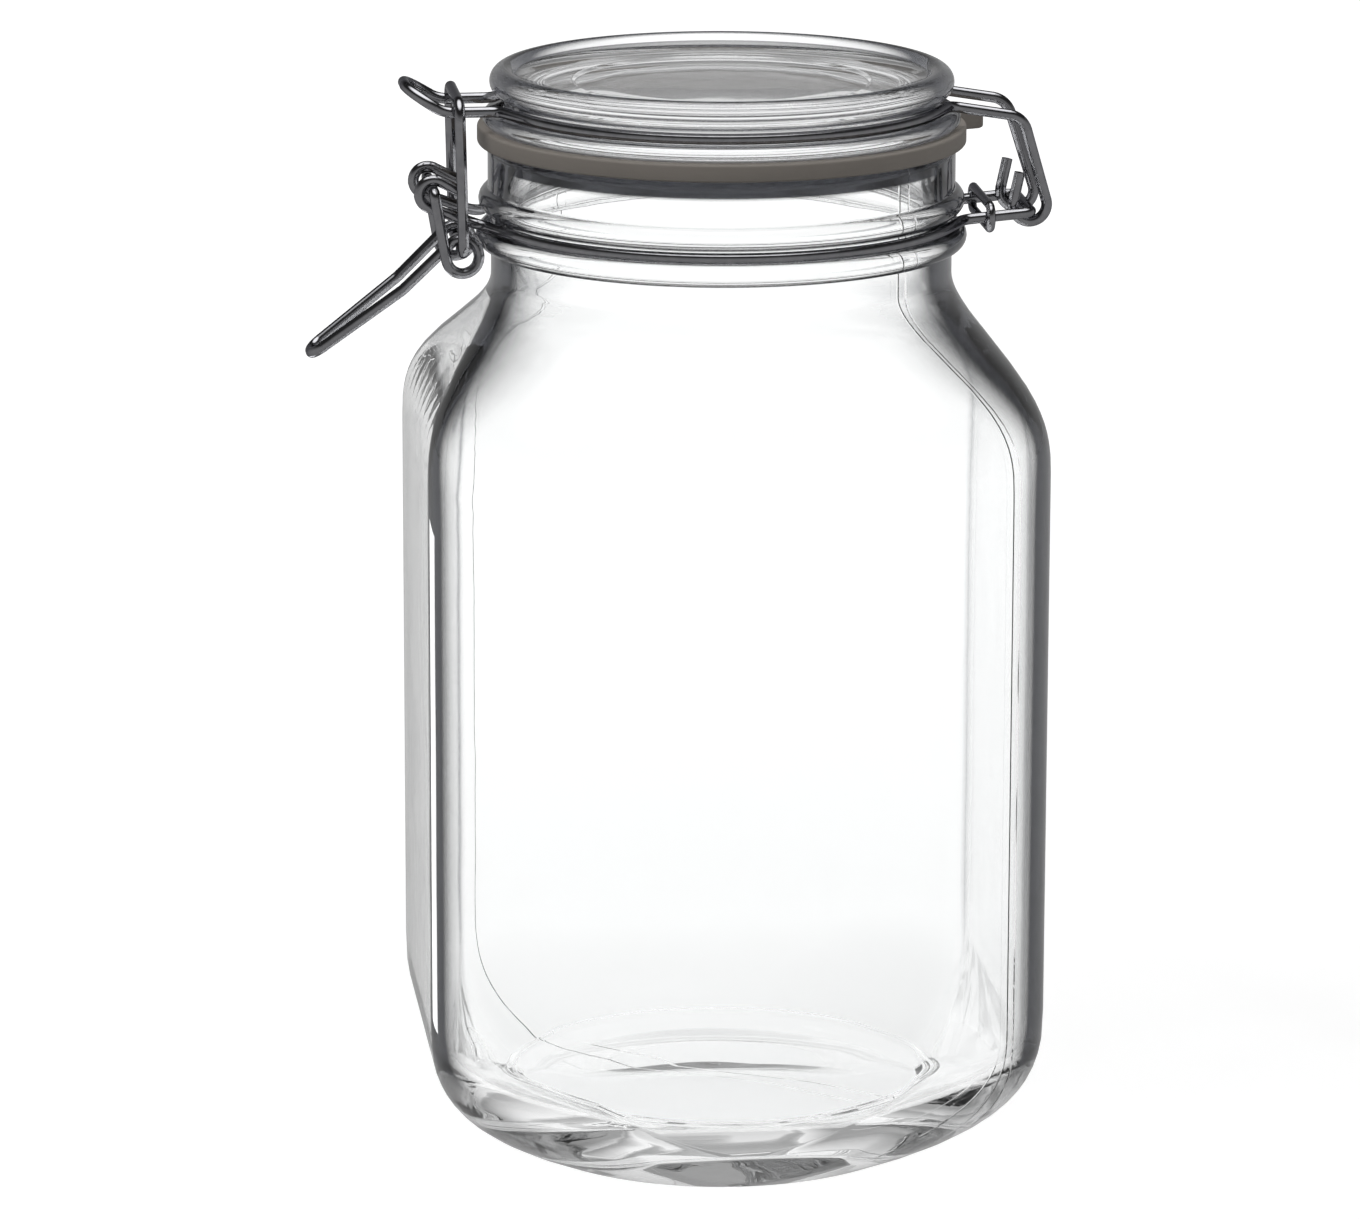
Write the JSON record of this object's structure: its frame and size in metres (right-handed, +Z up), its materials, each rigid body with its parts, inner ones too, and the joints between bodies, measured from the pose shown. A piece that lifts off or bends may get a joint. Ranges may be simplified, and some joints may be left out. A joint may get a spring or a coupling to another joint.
{
  "type": "lidded glass canister",
  "caption": "Square glass canister with a round neck, hinged glass lid, rubber seal ring and spring-wire closure with a folding lever.",
  "frame": {"origin": "centre of the round foot under the jar, on the table", "axes": "+Z up, +X towards the hinge, -X towards the lever, +Y to the left as seen from the lever side looking to the hinge"},
  "size_m": [0.1496, 0.1242, 0.2214],
  "materials": {
    "jar_glass": "clear pressed glass, glossy, slightly wavy",
    "lid_glass": "clear pressed glass, glossy",
    "wire_steel": "bright drawn steel wire",
    "seal_rubber": "matt beige-grey natural rubber"
  },
  "bodies": {
    "jar": {"glass_jar": "jar_glass", "neck_wire": "wire_steel", "wire_clip": "wire_steel"},
    "lid": {"glass_lid": "lid_glass", "gasket": "seal_rubber", "lid_wire": "wire_steel"},
    "lever": {"lever": "wire_steel"},
    "bail": {"bail": "wire_steel"}
  },
  "joints": [
    {"name": "lid_hinge", "type": "hinge", "parent": "jar", "child": "lid", "pos_m": [0.0613, 0, 0.1924], "axis": [0, 1, 0], "range_deg": [0, 110]},
    {"name": "lever_hinge", "type": "hinge", "parent": "jar", "child": "lever", "pos_m": [-0.0585, 0, 0.19829], "axis": [0, 1, 0], "range_deg": [0, 106]},
    {"name": "bail_swing", "type": "hinge", "parent": "lever", "child": "bail", "pos_m": [-0.0529, 0, 0.18629], "axis": [0, 1, 0], "range_deg": [-116, 0]}
  ],
  "couplings": [
    {"joint": "lever_hinge", "follows": "lid_hinge", "ratio": 0.955},
    {"joint": "bail_swing", "follows": "lid_hinge", "ratio": -1.05}
  ]
}
